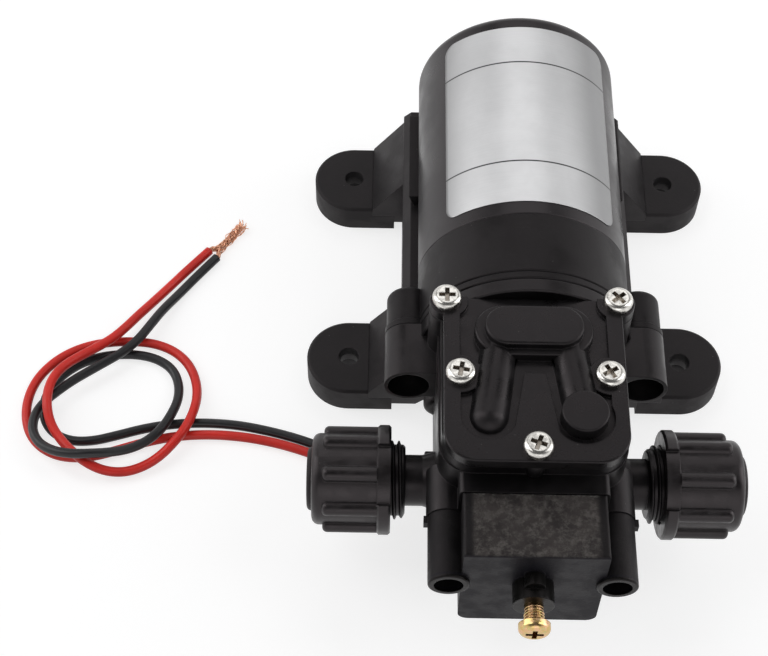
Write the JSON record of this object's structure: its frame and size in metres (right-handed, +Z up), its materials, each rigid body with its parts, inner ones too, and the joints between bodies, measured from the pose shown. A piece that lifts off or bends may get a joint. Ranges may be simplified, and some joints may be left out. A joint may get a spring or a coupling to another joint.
{
  "type": "diaphragm pump",
  "caption": "Small low-voltage diaphragm pump: motor on a saddle with rubber feet, pump head with a valve cover, union nuts on both ports and a pressure switch.",
  "frame": {"origin": "middle of the four foot holes, on the surface that the feet stand on", "axes": "+Z up, +Y along the motor shaft towards the motor's closed rear end, +X across towards the outlet port; the pressure switch faces -Y"},
  "size_m": [0.1831, 0.166, 0.0635],
  "materials": {
    "can_paint": "satin black paint on drawn steel",
    "cast_paint": "satin black coated castings",
    "label_foil": "brushed silver foil",
    "bronze": "oiled sintered bronze",
    "magnet": "ground ferrite",
    "plain_steel": "machined steel",
    "laminations": "stacked electrical sheet",
    "copper": "enamelled copper",
    "bare_copper": "bright bare copper strands",
    "phenolic": "brown laminate",
    "carbon": "pressed carbon",
    "rod_plastic": "natural moulded nylon",
    "body_plastic": "fine-textured black moulding",
    "cover_plastic": "satin black moulding",
    "nut_plastic": "matt black moulding",
    "switch_plastic": "satin black moulding with scuffs",
    "rubber": "matt black rubber",
    "foot_rubber": "matt moulded rubber",
    "diaphragm_rubber": "smooth moulded rubber",
    "nickel_screw": "nickel plated steel",
    "yellow_zinc": "yellow zinc plated steel",
    "spring_steel": "bright spring wire",
    "red_sheath": "satin red vinyl",
    "black_sheath": "satin black vinyl"
  },
  "bodies": {
    "housing": {"motor_can": "can_paint", "label": "label_foil", "rear_bush": "bronze", "magnet_left": "magnet", "magnet_right": "magnet", "end_bell": "plain_steel", "front_bush": "bronze", "motor_screws": "nickel_screw", "brush_plate": "phenolic", "carbon_brushes": "carbon", "brush_springs": "spring_steel", "motor_adapter": "cast_paint", "bearing_plate": "cast_paint", "drive_bearing": "plain_steel", "pump_diaphragm": "diaphragm_rubber", "pump_body": "body_plastic", "valve_plate": "body_plastic", "inlet_valve": "diaphragm_rubber", "outlet_valve": "diaphragm_rubber", "head_gasket": "rubber", "head_cover": "cover_plastic", "cover_screws": "nickel_screw", "frame_screws": "nickel_screw", "inlet_seal": "rubber", "outlet_seal": "rubber", "switch_housing": "switch_plastic", "switch_screws": "nickel_screw", "switch_diaphragm": "diaphragm_rubber", "diaphragm_retainer": "rod_plastic", "range_spring": "spring_steel", "microswitch": "phenolic", "base_bracket": "body_plastic", "bracket_screws": "nickel_screw", "rubber_feet": "foot_rubber", "wire_grommet": "rubber", "red_wire": "red_sheath", "black_wire": "black_sheath", "red_strands": "bare_copper", "black_strands": "bare_copper"},
    "rotor": {"motor_shaft": "plain_steel", "armature_core": "laminations", "windings": "copper", "commutator": "copper", "spacer_sleeves": "phenolic", "eccentric": "plain_steel", "eccentric_set_screw": "plain_steel"},
    "rod": {"crank_bearing": "plain_steel", "connecting_rod": "rod_plastic", "clamp_washer": "rod_plastic", "clamp_screw": "nickel_screw"},
    "plunger": {"switch_plunger": "rod_plastic"},
    "button": {"switch_button": "rod_plastic"},
    "seat": {"spring_seat": "plain_steel"},
    "adjuster": {"adjusting_screw": "yellow_zinc"},
    "inlet_cap": {"inlet_plug": "nut_plastic"},
    "inlet_ring": {"inlet_nut": "nut_plastic"},
    "outlet_cap": {"outlet_plug": "nut_plastic"},
    "outlet_ring": {"outlet_nut": "nut_plastic"}
  },
  "joints": [
    {"name": "shaft_spin", "type": "hinge", "parent": "housing", "child": "rotor", "pos_m": [0, -0.062, 0.0363], "axis": [0, 1, 0], "continuous": true},
    {"name": "rod_orbit", "type": "hinge", "parent": "rotor", "child": "rod", "pos_m": [0, -0.062, 0.0348], "axis": [0, 1, 0], "continuous": true, "deforming": ["pump_diaphragm"]},
    {"name": "plunger_slide", "type": "slide", "parent": "housing", "child": "plunger", "axis": [0, -1, 0], "range_m": [0, 0.001], "stiffness_N_per_m": 500, "springref_m": -0.001, "deforming": ["range_spring"]},
    {"name": "button_slide", "type": "slide", "parent": "housing", "child": "button", "axis": [0, -1, 0], "range_m": [0, 0.001]},
    {"name": "seat_slide", "type": "slide", "parent": "housing", "child": "seat", "axis": [0, 1, 0], "range_m": [-0.0015, 0.0015], "deforming": ["range_spring"]},
    {"name": "adjuster_turn", "type": "hinge", "parent": "seat", "child": "adjuster", "pos_m": [0, -0.11, 0.0363], "axis": [0, 1, 0], "range_deg": [-772, 772]},
    {"name": "inlet_cap_slide", "type": "slide", "parent": "housing", "child": "inlet_cap", "axis": [-1, 0, 0], "range_m": [0, 0.0114]},
    {"name": "inlet_nut_turn", "type": "hinge", "parent": "inlet_cap", "child": "inlet_ring", "pos_m": [-0.04, -0.0762, 0.0261], "axis": [-1, 0, 0], "range_deg": [0, 2566]},
    {"name": "outlet_cap_slide", "type": "slide", "parent": "housing", "child": "outlet_cap", "axis": [1, 0, 0], "range_m": [0, 0.0114]},
    {"name": "outlet_nut_turn", "type": "hinge", "parent": "outlet_cap", "child": "outlet_ring", "pos_m": [0.04, -0.0762, 0.0261], "axis": [1, 0, 0], "range_deg": [0, 2566]}
  ],
  "couplings": [
    {"joint": "rod_orbit", "follows": "shaft_spin", "ratio": -1},
    {"joint": "button_slide", "follows": "plunger_slide", "ratio": 1},
    {"joint": "adjuster_turn", "follows": "seat_slide", "rad_per_m": 8976},
    {"joint": "inlet_nut_turn", "follows": "inlet_cap_slide", "rad_per_m": 3927},
    {"joint": "outlet_nut_turn", "follows": "outlet_cap_slide", "rad_per_m": 3927}
  ]
}
